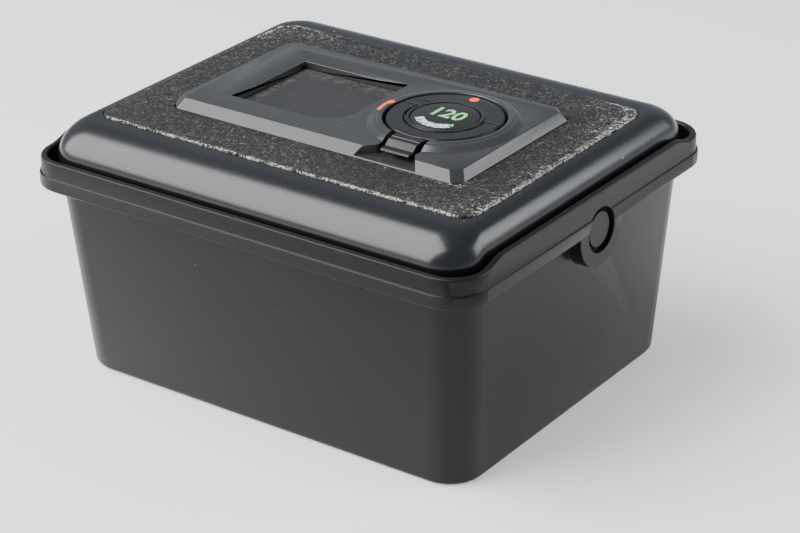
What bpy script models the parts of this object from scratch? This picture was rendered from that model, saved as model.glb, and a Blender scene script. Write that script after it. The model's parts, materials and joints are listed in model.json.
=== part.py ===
"""Roll film insert in its storage case.

A tapered moulded case holds the removable film insert of a medium-format camera back. The
insert is a gloss cover pan with a lock knob, and below it a frame that carries the spools, the
pressure plate and the wind gears.

Frame: origin at the centre of the case's underside, +X along the long side, +Z up.
Sizes below are in millimetres. mm() turns them into Blender's metres.
"""

import math

import bpy
import bmesh
from mathutils import Matrix, Vector

# ---------------------------------------------------------------- driving dimensions, in mm

GAP = 0.3                        # between pieces that touch on the real object

CASE_FOOT = (106.9, 84.8)        # outside of the tub at the table
CASE_NECK = (113.2, 92.2)        # outside of the tub under the rim band
CASE_BAND = (120.0, 100.0)       # outside of the rim band
BAND_LOW = 46.5
BAND_STEP = 49.8                 # the band's lower tier stands proud up to here
STEP_DEPTH = 0.35
RIM_LOW = 53.6                   # rim top along the long sides and round the corners
RIM_RISE = 1.6                   # the rim is this much higher on the short sides
RAMP_START = 0.843               # where the ramp ends, as a share of the straight side
WALL = 2.0
RIM_WALL = 2.1
LEDGE_Z = 48.5                   # the cover's edge rests here
CORNER = 8.5

BOSS_CENTRE = (2.6, 46.1)        # Y and Z of the round boss on each short side
BOSS_RADIUS = 8.5
BOSS_FACE_X = 59.9
BOSS_RECESS_RADIUS = 5.2
BOSS_PLUG_RADIUS = 4.1

COVER = (113.6, 93.8)            # outside of the cover pan
COVER_LOW = 48.8
ROLL_LOW = 53.1                  # where the cover's side starts to roll over
ROLL_HIGH = 60.3
ROLL_X = 5.4                     # how far the roll reaches in on the short and the long sides
ROLL_Y = 9.4
COVER_CEILING = 57.9
RECESS_FLOOR = 59.85             # the leatherette and the bezel sit in a shallow recess
LEATHER = (102.0, 70.0)
LEATHER_TOP = 60.75
LEATHER_CORNER = 4.5

BEZEL_TOP_SIZE = (76.6, 41.6)
BEZEL_FOOT_SIZE = (79.6, 45.0)
BEZEL_LOW = 60.15
BEZEL_TOP = 63.1
WINDOW_X = (-28.6, 1.2)          # memo window: inner walls
WINDOW_Y = (-14.0, 13.6)
WINDOW_BEVEL_X = 2.8             # slope on its left and rear sides
WINDOW_BEVEL_Y = 3.4
WINDOW_BEVEL_DROP = 0.8
WINDOW_BIG_CORNER = 8.0
MEMO_TOP = 60.6

DIAL = (20.7, 0.0)               # axis of the knob
COLLAR_BORE = 13.9
COLLAR_TOP = 64.5
COLLAR_FOOT = 17.3
KNOB_RADIUS = 13.3
KNOB_TOP = 64.35
KNOB_FOOT = 60.3
HUB_RADIUS = 8.85                # round middle of the knob, inside the key ring
HUB_TOP = 64.5
CAP_RADIUS = 7.75
SHAFT_RADIUS = 4.0
SHAFT_LOW = 54.0

KEY_INNER = 9.3                  # D-shaped key
KEY_OUTER = 13.1
KEY_LOW = 63.0
KEY_TOP = 64.4
KEY_AXIS = (1.7, 63.7)           # Y and Z of its hinge, along X
KEY_END = 2.3
KEY_WALL = 2.65                  # straight wall of the fixed half-moon behind it
KEY_FLOOR = 62.6
TAB_HALF = 3.75
SLOT_HALF = 5.05                 # half the notch in the collar that takes the tab
TAB_BEVEL = (16.0, 17.4)
TAB_LIP = 19.2
NOTCH_FLOOR = 61.0

PLATE = (106.8, 86.0)            # inner plate under the cover
PLATE_Z = (47.2, 48.4)
SCREW_PLACE = (46.0, 36.0)       # cover screws, in X and Y
FRAME_SCREWS = ((-30.0, 4.5), (8.0, 4.5))   # from the inner plate into the web, in X and Y

CRANK = 4.2                      # radius of the two cam pins
CRANK_PIN = 1.0
BAR_Z = (49.0, 51.0)
BAR_TIP = 57.5
BAR_TIP_Y = (-1.4, 6.6)
GUIDES = (("left", -3.7, -18.0), ("right", 3.7, 32.6))   # each staple's Y and X
GUIDE_HALF = 2.3
GUIDE_ROOF = 1.2

FRAME_X = -1.0                   # middle of the spools
SPOOL_LENGTH = 65.8
SPOOL_FLANGE = 12.6
SPOOL_CORE = 5.8
SPOOL_Y = 22.0                   # take-up at the front, supply at the rear
SPOOL_Z = 34.0
CHEEK = 1.5                      # thickness of the side plates
CHEEK_LEFT = -41.5               # outer faces of the side plates
CHEEK_RIGHT = 36.5
ROLLER_PLACE = (30.0, 13.0)
ROLLER_RADIUS = 3.0
PRESSURE_PLATE = (62.0, 46.0)
PRESSURE_Z = (9.0, 10.2)
WEB_HALF = 2.5
WEB_LOW = 12.4
STUD_RADIUS = 4.4                # collars of the spool studs
SPRING_TURNS = 3.5
SPRING_RADIUS = 2.9
SPRING_WIRE = 0.3
BOW_LENGTH = 42.0                # bowed springs over the pressure plate
BOW_RISE = 1.2
BOW_THICK = 0.35
BOW_Y = 13.0

GEAR_MODULE = 0.8
GEAR_X = (37.0, 40.0)
TAKEUP_TEETH = 30
IDLER_TEETH = 20
COUPLING_TEETH = 16
PRESSURE_ANGLE = math.radians(25.0)
IDLER_PLACE = (-6.0, 22.0)       # Y and Z
COUPLING_BEARING = math.radians(-20.0)   # direction from idler to coupling gear
GEAR_COVER_X = (41.6, 42.8)

DIAL_STEPS = 52
ROUND_STEPS = 24
SMALL_STEPS = 12

# ------------------------------------------------------------------------ scene and materials

for old in list(bpy.data.objects):
    bpy.data.objects.remove(old, do_unlink=True)

PARTS = bpy.data.collections.new("film_insert_in_case")
CUTTERS = bpy.data.collections.new("cutters")
CUTTERS.hide_render = True
bpy.context.scene.collection.children.link(PARTS)
bpy.context.scene.collection.children.link(CUTTERS)


def mm(value):
    """Millimetres as metres, for a number or a point."""
    if isinstance(value, (int, float)):
        return value * 0.001
    return Vector(value) * 0.001


def make_material(name, colour, roughness, metallic=0.0):
    material = bpy.data.materials.new(name)
    material.use_nodes = True
    shader = material.node_tree.nodes["Principled BSDF"]
    shader.inputs["Base Color"].default_value = (*colour, 1.0)
    shader.inputs["Roughness"].default_value = roughness
    shader.inputs["Metallic"].default_value = metallic
    return material


CASE_PLASTIC = make_material("case_plastic", (0.024, 0.025, 0.026), 0.42)
COVER_GLOSS = make_material("cover_gloss", (0.008, 0.008, 0.010), 0.12)
GRAINED = make_material("grained_covering", (0.030, 0.030, 0.032), 0.55)
BEZEL_BLACK = make_material("bezel_black", (0.050, 0.052, 0.056), 0.38)
KNOB_BLACK = make_material("knob_black", (0.035, 0.037, 0.040), 0.40)
STEEL = make_material("spring_steel", (0.55, 0.55, 0.56), 0.30, 1.0)
ALLOY = make_material("black_alloy", (0.040, 0.040, 0.042), 0.45, 0.6)
GEAR_PLASTIC = make_material("gear_plastic", (0.75, 0.73, 0.68), 0.45)
SPOOL_PLASTIC = make_material("spool_plastic", (0.020, 0.020, 0.022), 0.35)
FOAM = make_material("seal_foam", (0.015, 0.015, 0.015), 0.95)
SCREW_STEEL = make_material("screw_steel", (0.12, 0.12, 0.13), 0.35, 1.0)

# ------------------------------------------------------------------------------- shape tools


def add_object(name, data, material, cutter=False):
    """An object of this mesh or curve, in the parts or among the cutters."""
    obj = bpy.data.objects.new(name, data)
    (CUTTERS if cutter else PARTS).objects.link(obj)
    if cutter:
        obj.hide_render = True
        obj.display_type = 'WIRE'
    else:
        data.materials.append(material)
    return obj


def mesh_object(name, work, material, cutter=False):
    """An object of a finished bmesh."""
    bmesh.ops.recalc_face_normals(work, faces=work.faces)
    mesh = bpy.data.meshes.new(name)
    work.to_mesh(mesh)
    work.free()
    return add_object(name, mesh, material, cutter)


def smooth(obj, angle=35.0):
    obj.data.shade_smooth()
    obj.data.set_sharp_from_angle(angle=math.radians(angle))


def box(name, low, high, material=None, cutter=False):
    """A box between two corners."""
    work = bmesh.new()
    bmesh.ops.create_cube(work, size=1.0)
    size = Vector(high) - Vector(low)
    middle = (Vector(high) + Vector(low)) / 2
    bmesh.ops.scale(work, vec=mm(size), verts=work.verts)
    bmesh.ops.translate(work, vec=mm(middle), verts=work.verts)
    return mesh_object(name, work, material, cutter)


def drum(name, low, high, radius, axis='Z', material=None, cutter=False, steps=ROUND_STEPS):
    """A plain cylinder whose axis starts at low and ends at high, two points on one axis."""
    low, high = Vector(low), Vector(high)
    turn = {'Z': Matrix(), 'X': Matrix.Rotation(math.radians(90), 4, 'Y')}[axis]
    work = bmesh.new()
    bmesh.ops.create_cone(work, cap_ends=True, segments=steps, radius1=mm(radius),
                          radius2=mm(radius), depth=mm((high - low).length))
    bmesh.ops.transform(work, matrix=Matrix.Translation(mm((low + high) / 2)) @ turn,
                        verts=work.verts)
    return mesh_object(name, work, material, cutter)


def arc(centre, radius, start, end, steps):
    """Points along an arc, with its angles in degrees."""
    turns = [math.radians(start + (end - start) * k / steps) for k in range(steps + 1)]
    return [(centre[0] + radius * math.cos(t), centre[1] + radius * math.sin(t)) for t in turns]


def rounded_rectangle(half_x, half_y, radius, steps=6, stops=()):
    """Counter-clockwise outline, with extra points on the short sides at shares of their length."""
    side_x, side_y = half_x - radius, half_y - radius
    corners = ((side_x, -side_y, -90), (side_x, side_y, 0), (-side_x, side_y, 90),
               (-side_x, -side_y, 180))
    points = []
    for number, (x, y, start) in enumerate(corners):
        points += arc((x, y), radius, start, start + 90, steps)
        if number in (0, 2):
            sign = 1 if number == 0 else -1
            points += [(sign * half_x, sign * share * side_y) for share in stops]
    return points


def loft(name, sections, material, cutter=False):
    """A closed body through rings of equally many points, capped at both ends."""
    work = bmesh.new()
    rings = [[work.verts.new(mm(point)) for point in section] for section in sections]
    count = len(rings[0])
    for lower, upper in zip(rings, rings[1:]):
        for k in range(count):
            after = (k + 1) % count
            work.faces.new((lower[k], lower[after], upper[after], upper[k]))
    work.faces.new(reversed(rings[0]))
    work.faces.new(rings[-1])
    return mesh_object(name, work, material, cutter)


def ring_at(z, half_x, half_y, radius, **options):
    return [(x, y, z) for x, y in rounded_rectangle(half_x, half_y, radius, **options)]


def turned(name, profile, place, material, axis='Z', steps=ROUND_STEPS, cutter=False):
    """A profile of radius and height, top to bottom on its outer side, spun about its axis."""
    work = bmesh.new()
    verts = [work.verts.new(mm((radius, 0.0, height))) for radius, height in profile]
    for first, second in zip(verts, verts[1:]):
        work.edges.new((first, second))
    if profile[0][0] > 0:
        work.edges.new((verts[-1], verts[0]))
    mesh = bpy.data.meshes.new(name)
    work.to_mesh(mesh)
    work.free()
    obj = add_object(name, mesh, material, cutter)
    spin = obj.modifiers.new("spin", 'SCREW')
    spin.steps = spin.render_steps = steps
    spin.use_merge_vertices = True
    spin.merge_threshold = 0.00001
    obj.location = mm(place)
    if axis == 'X':
        obj.rotation_euler = (0.0, math.radians(90), 0.0)
    return obj


def tube_profile(inner, outer, low, high):
    return [(outer, high), (outer, low), (inner, low), (inner, high)]


TURN_FOR_PLANE = {'XY': (0.0, 0.0, 0.0), 'YZ': (math.radians(90), 0.0, math.radians(90)),
                  'XZ': (math.radians(90), 0.0, 0.0)}


def flat_part(name, outlines, start, end, plane, material):
    """A flat outline with its holes, extruded between two heights square to its plane.

    In 'XY' the outline is (x, y) and the heights are z. In 'YZ' it is (y, z) and x.
    In 'XZ' it is (x, z) and -y.
    """
    curve = bpy.data.curves.new(name, 'CURVE')
    curve.dimensions = '2D'
    curve.fill_mode = 'BOTH'
    curve.extrude = mm(abs(end - start) / 2)
    for outline in outlines:
        spline = curve.splines.new('POLY')
        spline.points.add(len(outline) - 1)
        for point, (x, y) in zip(spline.points, outline):
            point.co = (*mm((x, y, 0.0)), 1.0)
        spline.use_cyclic_u = True
    obj = add_object(name, curve, material)
    obj.rotation_euler = TURN_FOR_PLANE[plane]
    middle = (start + end) / 2
    obj.location = mm({'XY': (0, 0, middle), 'YZ': (middle, 0, 0), 'XZ': (0, -middle, 0)}[plane])
    return obj


def circle(centre, radius, steps=SMALL_STEPS):
    return arc(centre, radius, 0, 360, steps)[:-1]


def as_mesh(obj):
    """The curve's solid as a mesh object, so that it can be cut."""
    bpy.context.view_layer.update()
    evaluated = obj.evaluated_get(bpy.context.evaluated_depsgraph_get())
    mesh = bpy.data.meshes.new_from_object(evaluated)
    work = bmesh.new()
    work.from_mesh(mesh)
    bmesh.ops.remove_doubles(work, verts=work.verts, dist=0.000001)
    work.to_mesh(mesh)
    work.free()
    name, place = obj.name, obj.matrix_world.copy()
    bpy.data.objects.remove(obj, do_unlink=True)
    solid = bpy.data.objects.new(name, mesh)
    PARTS.objects.link(solid)
    solid.matrix_world = place
    return solid


def combine(obj, tool, operation='DIFFERENCE'):
    boolean = obj.modifiers.new(operation.lower(), 'BOOLEAN')
    boolean.operation = operation
    boolean.solver = 'EXACT'
    boolean.object = tool
    return obj


def put_origin(obj, place):
    """Moves a mesh object's origin to its joint axis and leaves its shape where it is."""
    obj.data.transform(Matrix.Translation(-mm(place)))
    obj.location = mm(place)


# -------------------------------------------------------------------------------------- case


def make_case():
    """Tub, rim band and bosses in one moulding."""
    stops = [-1.0 + (1.0 - RAMP_START) * k / 4 for k in range(1, 5)]
    stops += [-share for share in reversed(stops)]

    def ring(z, size, inset, radius, rise=0.0):
        half_x, half_y = size[0] / 2 - inset, size[1] / 2 - inset
        ramp = (1.0 - RAMP_START) * (half_y - radius)
        points = []
        for x, y in rounded_rectangle(half_x, half_y, radius, stops=stops):
            share = max(0.0, min(1.0, (half_y - radius - abs(y)) / ramp))
            lift = rise * share * share * (3 - 2 * share)
            points.append((x, y, z + lift))
        return points

    def wall(z):
        share = z / BAND_LOW
        return [low + (high - low) * share for low, high in zip(CASE_FOOT, CASE_NECK)]

    rise = RIM_RISE
    neck = wall(BAND_LOW)
    sections = [
        ring(0.0, wall(0.0), 1.2, 7.3),
        ring(0.35, wall(0.35), 0.35, 7.8),
        ring(1.2, wall(1.2), 0.0, 8.0),
        ring(BAND_LOW, neck, 0.0, CORNER),
        ring(BAND_LOW, CASE_BAND, 0.35, CORNER),
        ring(BAND_LOW + 0.35, CASE_BAND, 0.0, CORNER),
        ring(BAND_STEP - 0.15, CASE_BAND, 0.0, CORNER),
        ring(BAND_STEP, CASE_BAND, STEP_DEPTH, CORNER),
        ring(RIM_LOW - 0.45, CASE_BAND, STEP_DEPTH, CORNER, rise),
        ring(RIM_LOW - 0.12, CASE_BAND, STEP_DEPTH + 0.15, CORNER, rise),
        ring(RIM_LOW, CASE_BAND, STEP_DEPTH + 0.5, CORNER - 0.5, rise),
        ring(RIM_LOW, CASE_BAND, RIM_WALL - 0.4, CORNER - 1.5, rise),
        ring(RIM_LOW - 0.4, CASE_BAND, RIM_WALL, CORNER - 1.9, rise),
        ring(LEDGE_Z, CASE_BAND, RIM_WALL, CORNER - 1.9),
        ring(LEDGE_Z, neck, WALL, CORNER - WALL),
        ring(LEDGE_Z - 1.0, neck, WALL, CORNER - WALL),
        ring(WALL + 1.5, wall(WALL), WALL, 6.0),
        ring(WALL, wall(WALL), WALL + 1.5, 5.0),
    ]
    case = loft("case_tub", sections, CASE_PLASTIC)
    y, z = BOSS_CENTRE
    for side, name in ((1, "right"), (-1, "left")):
        flank = arc((y, z), BOSS_RADIUS, 180, 360, 20)
        top = BAND_STEP - 1.0
        outline = [(y - BOSS_RADIUS, top), *flank, (y + BOSS_RADIUS, top)]
        face = [(side * BOSS_FACE_X, *point) for point in outline]
        root = [(side * 55.4, *point) for point in outline]
        boss = loft("boss_" + name, (root, face), None, cutter=True)
        combine(case, boss, 'UNION')
        groove = turned("boss_groove_" + name, tube_profile(BOSS_PLUG_RADIUS, BOSS_RECESS_RADIUS,
                        58.2, 61.0), (0, y, z), None, axis='X', cutter=True)
        pocket = drum("boss_pocket_" + name, (side * 59.3, y, z), (side * 61.0, y, z),
                      BOSS_RECESS_RADIUS - 0.02, 'X', cutter=True)
        if side < 0:
            groove.rotation_euler = (0.0, math.radians(-90), 0.0)
        combine(case, groove)
        combine(case, pocket)
    return case


# ------------------------------------------------------------------------- cover and bezel


def make_cover():
    """Cover pan with rolled edges, four screw posts and a shaft hole."""
    half_x, half_y = COVER[0] / 2, COVER[1] / 2
    sections = [
        ring_at(COVER_CEILING, half_x - 8.0, half_y - 12.5, 3.0),
        ring_at(ROLL_LOW + 1.0, half_x - 1.9, half_y - 3.4, 6.0),
        ring_at(ROLL_LOW - 1.5, half_x - 1.7, half_y - 1.7, 7.0),
        ring_at(COVER_LOW, half_x - 1.7, half_y - 1.7, 7.0),
        ring_at(COVER_LOW, half_x - 0.2, half_y - 0.2, 8.5),
        ring_at(COVER_LOW + 0.3, half_x, half_y, 8.7),
    ]
    roll_steps = 8
    for k in range(roll_steps + 1):
        turn = math.radians(90.0 * k / roll_steps)
        inward = 1.0 - math.cos(turn)
        sections.append(ring_at(ROLL_LOW + (ROLL_HIGH - ROLL_LOW) * math.sin(turn),
                                half_x - ROLL_X * inward, half_y - ROLL_Y * inward,
                                8.7 - 3.9 * inward))
    edge = (LEATHER[0] / 2 + GAP, LEATHER[1] / 2 + GAP)
    sections.append(ring_at(ROLL_HIGH, *edge, LEATHER_CORNER + GAP))
    sections.append(ring_at(RECESS_FLOOR, *edge, LEATHER_CORNER + GAP))
    cover = loft("back_cover", sections, COVER_GLOSS)
    smooth(cover)
    for x in (-SCREW_PLACE[0], SCREW_PLACE[0]):
        for y in (-SCREW_PLACE[1], SCREW_PLACE[1]):
            name = f"{'right' if x > 0 else 'left'}_{'rear' if y > 0 else 'front'}"
            post = drum("post_" + name, (x, y, PLATE_Z[1] + GAP), (x, y, 58.6), 2.6, cutter=True,
                        steps=SMALL_STEPS)
            hole = drum("post_hole_" + name, (x, y, 48.0), (x, y, 55.5), 1.4, cutter=True,
                        steps=SMALL_STEPS)
            combine(cover, post, 'UNION')
            combine(cover, hole)
    dial_x, dial_y = DIAL
    hole = drum("shaft_hole", (dial_x, dial_y, 50.0), (dial_x, dial_y, 62.0), SHAFT_RADIUS + GAP,
                cutter=True)
    combine(cover, hole)
    for side in (-1, 1):
        notch = box("bar_notch", (min(side * 54.0, side * 58.0), -2.2, 48.0),
                    (max(side * 54.0, side * 58.0), 7.4, 51.4), cutter=True)
        combine(cover, notch)
    return cover


def make_leatherette():
    """Grained sheet with a hole for the bezel."""
    outer = rounded_rectangle(LEATHER[0] / 2, LEATHER[1] / 2, LEATHER_CORNER)
    hole = rounded_rectangle(BEZEL_FOOT_SIZE[0] / 2 + GAP, BEZEL_FOOT_SIZE[1] / 2 + GAP, 2.4,
                             steps=1)
    return flat_part("leatherette", (outer, hole), BEZEL_LOW, LEATHER_TOP, 'XY', GRAINED)


def window_outline(grow_left=0.0, grow_rear=0.0, inset=0.0):
    """Memo window seen from above: square corners but for one big round one at the front right."""
    left, right = WINDOW_X[0] - grow_left + inset, WINDOW_X[1] - inset
    front, rear = WINDOW_Y[0] + inset, WINDOW_Y[1] + grow_rear - inset
    radius = WINDOW_BIG_CORNER - inset
    big = arc((right - radius, front + radius), radius, -90, 0, 8)
    return [(left, front), *big, (right, rear), (left, rear)]


def make_bezel():
    """Die-cast plate: sloping edges, memo window, collar with its notch, nail notch."""
    top, foot = BEZEL_TOP_SIZE, BEZEL_FOOT_SIZE
    sections = (
        ring_at(BEZEL_LOW, foot[0] / 2, foot[1] / 2, 2.2, steps=1),
        ring_at(LEATHER_TOP, foot[0] / 2, foot[1] / 2, 2.2, steps=1),
        ring_at(BEZEL_TOP - 0.12, top[0] / 2 + 0.1, top[1] / 2 + 0.1, 2.1, steps=1),
        ring_at(BEZEL_TOP, top[0] / 2 - 0.15, top[1] / 2 - 0.15, 2.0, steps=1),
    )
    bezel = loft("bezel_plate", sections, BEZEL_BLACK)
    place = (*DIAL, 0.0)
    collar = turned("collar", [
        (COLLAR_BORE + 0.2, COLLAR_TOP), (15.0, COLLAR_TOP), (15.2, COLLAR_TOP - 0.2),
        (15.9, COLLAR_TOP - 0.25), (COLLAR_FOOT, BEZEL_TOP), (COLLAR_FOOT, 62.0),
        (COLLAR_BORE - 0.5, 62.0), (COLLAR_BORE - 0.5, COLLAR_TOP - 0.4),
    ], place, None, steps=DIAL_STEPS, cutter=True)
    combine(bezel, collar, 'UNION')
    bore = drum("collar_bore", (*DIAL, 59.0), (*DIAL, 66.0), COLLAR_BORE, steps=DIAL_STEPS,
                cutter=True)
    combine(bezel, bore)
    walls = [(x, y, z) for z in (59.0, 64.0) for x, y in window_outline()]
    half = len(walls) // 2
    combine(bezel, loft("window", (walls[:half], walls[half:]), None, cutter=True))
    lower = [(x, y, BEZEL_TOP - WINDOW_BEVEL_DROP) for x, y in window_outline(inset=0.01)]
    upper = [(x, y, BEZEL_TOP + 0.01)
             for x, y in window_outline(WINDOW_BEVEL_X, WINDOW_BEVEL_Y, 0.01)]
    combine(bezel, loft("window_bevel", (lower, upper), None, cutter=True))
    dial_x, dial_y = DIAL
    notch = [(dial_x - SLOT_HALF, dial_y - 12.0), (dial_x - SLOT_HALF, dial_y - 18.6),
             (dial_x - 10.3, dial_y - 24.0), (dial_x + 8.9, dial_y - 24.0),
             (dial_x + SLOT_HALF, dial_y - 18.6), (dial_x + SLOT_HALF, dial_y - 12.0)]
    rings = [[(x, y, z) for x, y in notch] for z in (NOTCH_FLOOR, 66.0)]
    combine(bezel, loft("nail_notch", rings, None, cutter=True))
    return bezel


def make_memo_plate():
    """Smooth spring plate that floors the memo window."""
    return flat_part("memo_plate", [window_outline(inset=GAP)], BEZEL_LOW, MEMO_TOP, 'XY',
                     BEZEL_BLACK)


# -------------------------------------------------------------------------- knob and key


def make_knob():
    """Knob with a fixed half-moon at the rear and a D-shaped channel for the key."""
    place = (*DIAL, 0.0)
    knob = turned("lock_knob", [
        (0.0, 63.9), (CAP_RADIUS + 0.25, 63.9), (CAP_RADIUS + 0.25, HUB_TOP),
        (HUB_RADIUS - 0.15, HUB_TOP), (HUB_RADIUS, HUB_TOP - 0.15), (KNOB_RADIUS - 0.3, KNOB_TOP),
        (KNOB_RADIUS, KNOB_TOP - 0.3), (KNOB_RADIUS, KNOB_FOOT), (SHAFT_RADIUS, KNOB_FOOT),
        (SHAFT_RADIUS, SHAFT_LOW), (1.3, SHAFT_LOW), (1.3, 57.3), (0.0, 57.3),
    ], place, KNOB_BLACK, steps=DIAL_STEPS)
    far = KNOB_RADIUS + 1.2
    bearing = math.degrees(math.asin(KEY_WALL / HUB_RADIUS))
    outline = ([(far, KEY_WALL)] + arc((0, 0), HUB_RADIUS, bearing, -180 - bearing, 28)
               + [(-far, KEY_WALL), (-far, -far), (far, -far)])
    rings = [[(DIAL[0] + x, DIAL[1] + y, z) for x, y in outline] for z in (KEY_FLOOR, 66.0)]
    combine(knob, loft("key_channel", rings, None, cutter=True))
    return knob


def make_key():
    """D-shaped key with a nail tab, hinged on two pins at its ends."""
    def outline(inner, outer, end):
        turn_out = math.degrees(math.asin(end / outer))
        turn_in = math.degrees(math.asin(end / inner))
        return (arc((0, 0), outer, -180 - turn_out, turn_out, 32)
                + arc((0, 0), inner, turn_in, -180 - turn_in, 32))

    levels = ((KEY_LOW, 0.0, KEY_END), (KEY_TOP - 0.3, 0.0, KEY_END),
              (KEY_TOP, 0.3, KEY_END - 0.3))
    rings = [[(DIAL[0] + x, DIAL[1] + y, z)
              for x, y in outline(KEY_INNER + inset * 0.3, KEY_OUTER - inset, end)]
             for z, inset, end in levels]
    key = loft("key_ring", rings, KNOB_BLACK)
    side = [(-12.2, KEY_TOP - 0.25), (-14.8, KEY_TOP - 0.05), (-15.0, KEY_TOP - 0.3),
            (-TAB_BEVEL[0], KEY_TOP - 0.35), (-TAB_BEVEL[1], BEZEL_TOP - 0.25),
            (-TAB_LIP + 0.3, BEZEL_TOP - 0.35), (-TAB_LIP, BEZEL_TOP - 0.7),
            (-TAB_LIP, BEZEL_TOP - 0.9), (-TAB_BEVEL[1] + 0.2, BEZEL_TOP - 0.7),
            (-TAB_BEVEL[0] + 0.6, KEY_LOW + 0.25), (-12.2, KEY_LOW + 0.25)]
    faces = [[(DIAL[0] + x, DIAL[1] + y, z) for y, z in side] for x in (-TAB_HALF, TAB_HALF)]
    combine(key, loft("nail_tab", faces, None, cutter=True), 'UNION')
    return key


def make_key_pins(knob, key):
    """Two pins along the key's hinge, and their bores in the hub and in the key's arms."""
    y, z = DIAL[1] + KEY_AXIS[0], KEY_AXIS[1]
    for side, name in ((-1, "left"), (1, "right")):
        ends = sorted((DIAL[0] + side * 8.2, DIAL[0] + side * 12.2))
        drum("key_pin_" + name, (ends[0], y, z), (ends[1], y, z), 0.3, 'X', STEEL, steps=12)
        bore = drum("pin_bore_" + name, (ends[0] - GAP, y, z), (ends[1] + GAP, y, z), 0.5, 'X',
                    cutter=True, steps=12)
        combine(knob, bore)
        combine(key, bore)


def make_cap():
    cap = turned("dial_cap", [(0.0, HUB_TOP), (CAP_RADIUS - 0.1, HUB_TOP),
                              (CAP_RADIUS, HUB_TOP - 0.1), (CAP_RADIUS, 64.15), (0.0, 64.15)],
                 (*DIAL, 0.0), KNOB_BLACK, steps=40)
    return cap


# ------------------------------------------------------------------------------ latch


def make_cam():
    """Disc with two opposite crank pins and a sunk seat for the knob screw."""
    place = (*DIAL, 0.0)
    cam = turned("latch_cam", [
        (6.3, 53.7), (6.6, 53.4), (6.6, 51.5), (2.8, 51.5), (2.8, 52.9), (1.3, 52.9), (1.3, 53.7),
    ], place, ALLOY, steps=ROUND_STEPS)
    for number, turn in enumerate((-135.0, 45.0)):
        x = DIAL[0] + CRANK * math.cos(math.radians(turn))
        y = DIAL[1] + CRANK * math.sin(math.radians(turn))
        pin = drum(f"crank_{number + 1}", (x, y, BAR_Z[0] + 0.3), (x, y, 52.4), CRANK_PIN,
                   cutter=True, steps=SMALL_STEPS)
        combine(cam, pin, 'UNION')
    turned("knob_screw", [(0.0, 52.6), (2.4, 52.6), (2.4, 51.7), (0.0, 51.7)], place, SCREW_STEEL)
    screw = PARTS.objects["knob_screw"]
    shank = drum("knob_screw_shank", (*DIAL, 52.0), (*DIAL, 57.0), 1.0, cutter=True,
                 steps=SMALL_STEPS)
    combine(screw, shank, 'UNION')
    return cam


def make_bars():
    """Two sliding bars with a cross slot for the cam's pin and a wide tip."""
    offset = CRANK * math.cos(math.radians(45))
    reach = CRANK_PIN + GAP

    def slot(x, near, far):
        return [(x - reach, near), (x + reach, near), (x + reach, far), (x - reach, far)]

    low, high = BAR_TIP_Y
    left_slot = DIAL[0] - offset
    left = [(left_slot + 3.2, -0.6), (left_slot - 3.2, -0.6), (left_slot - 4.2, -1.7),
            (-42.0, -1.7), (-45.0, high), (-BAR_TIP + 0.6, high), (-BAR_TIP, high - 0.6),
            (-BAR_TIP, low + 0.6), (-BAR_TIP + 0.6, low), (-48.5, low), (-46.0, -5.7),
            (left_slot - 4.2, -5.7), (left_slot - 3.2, -6.8), (left_slot + 3.2, -6.8)]
    flat_part("latch_bar_left", (left, slot(left_slot, -5.75, -1.45)), *BAR_Z, 'XY', STEEL)
    right_slot = DIAL[0] + offset
    right = [(right_slot - 3.2, 0.6), (right_slot + 3.2, 0.6), (right_slot + 4.2, 1.7),
             (43.5, 1.7), (45.5, low), (BAR_TIP - 0.6, low), (BAR_TIP, low + 0.6),
             (BAR_TIP, high - 0.6), (BAR_TIP - 0.6, high), (45.5, high), (43.5, 5.7),
             (right_slot + 4.2, 5.7), (right_slot + 3.2, 6.8), (right_slot - 3.2, 6.8)]
    flat_part("latch_bar_right", (right, slot(right_slot, 1.45, 5.75)), *BAR_Z, 'XY', STEEL)


def make_guides():
    """Staples on the inner plate that the bars slide through."""
    foot, roof = PLATE_Z[1] + GAP, BAR_Z[1] + GAP
    for name, middle, x in GUIDES:
        inner, outer = 2.35, 3.6
        top = roof + GUIDE_ROOF
        outline = [(middle - outer, foot), (middle - outer, top), (middle + outer, top),
                   (middle + outer, foot), (middle + inner, foot), (middle + inner, roof),
                   (middle - inner, roof), (middle - inner, foot)]
        flat_part("bar_guide_" + name, [outline], x - GUIDE_HALF, x + GUIDE_HALF, 'YZ',
                  ALLOY)


def make_inner_plate():
    """Light-tight plate under the cover, and the foam strip round it."""
    half_x, half_y = PLATE[0] / 2, PLATE[1] / 2
    holes = [circle((sx * SCREW_PLACE[0], sy * SCREW_PLACE[1]), 1.4)
             for sx in (-1, 1) for sy in (-1, 1)]
    holes += [circle(place, 1.3) for place in FRAME_SCREWS]
    flat_part("inner_plate", [rounded_rectangle(half_x, half_y, 6.0), *holes], *PLATE_Z, 'XY',
              ALLOY)
    outer = rounded_rectangle(half_x - 0.5, half_y - 0.5, 5.5)
    inner = rounded_rectangle(half_x - 2.5, half_y - 2.5, 3.5)
    flat_part("light_seal", (outer, inner), PLATE_Z[0] - GAP - 0.8, PLATE_Z[0] - GAP, 'XY', FOAM)


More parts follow.
